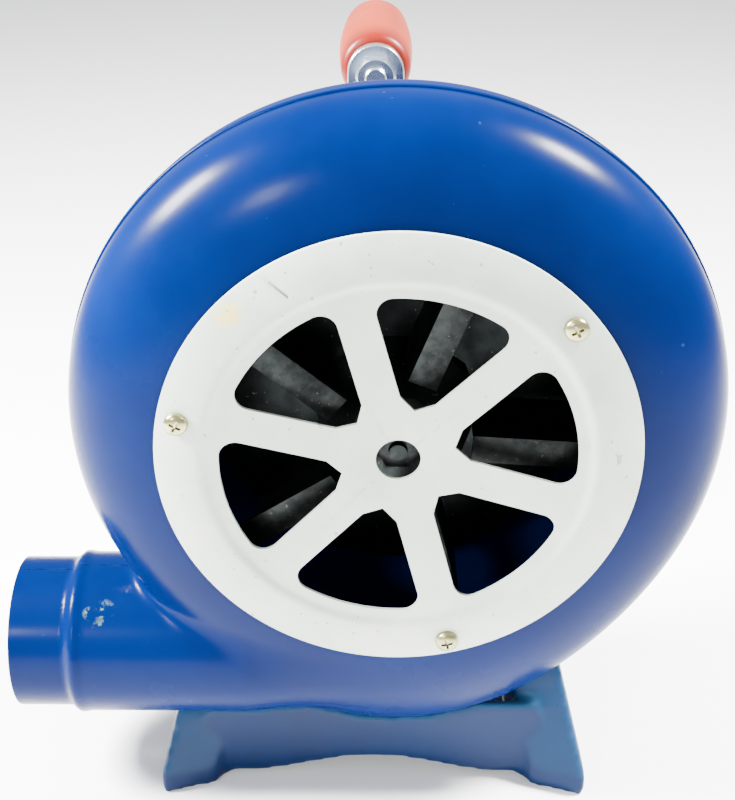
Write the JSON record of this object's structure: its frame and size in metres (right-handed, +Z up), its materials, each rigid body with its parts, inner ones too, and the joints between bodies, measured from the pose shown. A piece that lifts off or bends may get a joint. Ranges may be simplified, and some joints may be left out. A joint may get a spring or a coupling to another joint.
{
  "type": "hand-cranked centrifugal blower",
  "caption": "Hand-cranked centrifugal air blower: scroll casing with a windowed inlet guard, side outlet pipe, geared crank and cast stand.",
  "frame": {"origin": "on the floor, under the middle of the object's box", "axes": "+Z up; +Y from the inlet guard to the crank, along the fan axis; +X to the right seen from the guard, so the outlet pipe points along -X"},
  "size_m": [0.2574, 0.1832, 0.2753],
  "materials": {
    "blue_enamel": "glossy enamel",
    "guard_paint": "satin, slightly worn",
    "cast_alloy": "as cast",
    "zinc": "bright zinc plate",
    "yellow_zinc": "yellow zinc plate",
    "steel": "machined, oiled",
    "bronze": "sintered",
    "orange_grip": "semi-gloss"
  },
  "bodies": {
    "housing": {"inlet_guard": "guard_paint", "front_shell": "blue_enamel", "front_shell_right": "blue_enamel", "outlet_front": "blue_enamel", "rear_shell": "blue_enamel", "fan_bush_front": "bronze", "fan_bush_rear": "bronze", "idler_pin": "steel", "gearcase_stand": "blue_enamel", "gearcase_cover": "blue_enamel", "crank_bush": "bronze", "guard_screw_1": "yellow_zinc", "guard_screw_2": "yellow_zinc", "guard_screw_3": "yellow_zinc", "shell_screw_1": "zinc", "shell_screw_2": "zinc", "shell_screw_3": "zinc", "cover_screw_1": "zinc", "cover_screw_2": "zinc", "cover_screw_3": "zinc", "cover_screw_4": "zinc"},
    "crank": {"crank_shaft": "steel", "crank_gear": "steel", "crank_arm": "zinc", "crank_washer": "zinc", "crank_nut": "zinc", "grip_bolt": "zinc", "grip_nut": "zinc", "grip_washer_inner": "zinc", "grip_washer_outer": "zinc"},
    "idler": {"idler_pinion": "steel", "idler_gear": "steel"},
    "fan": {"fan_shaft": "steel", "fan_pinion": "steel", "impeller": "cast_alloy", "fan_washer": "zinc", "fan_nut": "zinc"},
    "grip": {"grip": "orange_grip"}
  },
  "joints": [
    {"name": "crank_turn", "type": "hinge", "parent": "housing", "child": "crank", "pos_m": [0.00534, 0.0074, 0.1578], "axis": [0, 1, 0], "continuous": true},
    {"name": "idler_spin", "type": "hinge", "parent": "housing", "child": "idler", "pos_m": [0.00934, -0.0026, 0.12807], "axis": [0, 1, 0], "continuous": true},
    {"name": "fan_spin", "type": "hinge", "parent": "housing", "child": "fan", "pos_m": [0.01334, -0.0476, 0.1578], "axis": [0, 1, 0], "continuous": true},
    {"name": "grip_spin", "type": "hinge", "parent": "crank", "child": "grip", "pos_m": [0.00534, 0.0624, 0.2602], "axis": [0, 1, 0], "continuous": true}
  ],
  "couplings": [
    {"joint": "idler_spin", "follows": "crank_turn", "ratio": -4},
    {"joint": "fan_spin", "follows": "crank_turn", "ratio": 16}
  ]
}
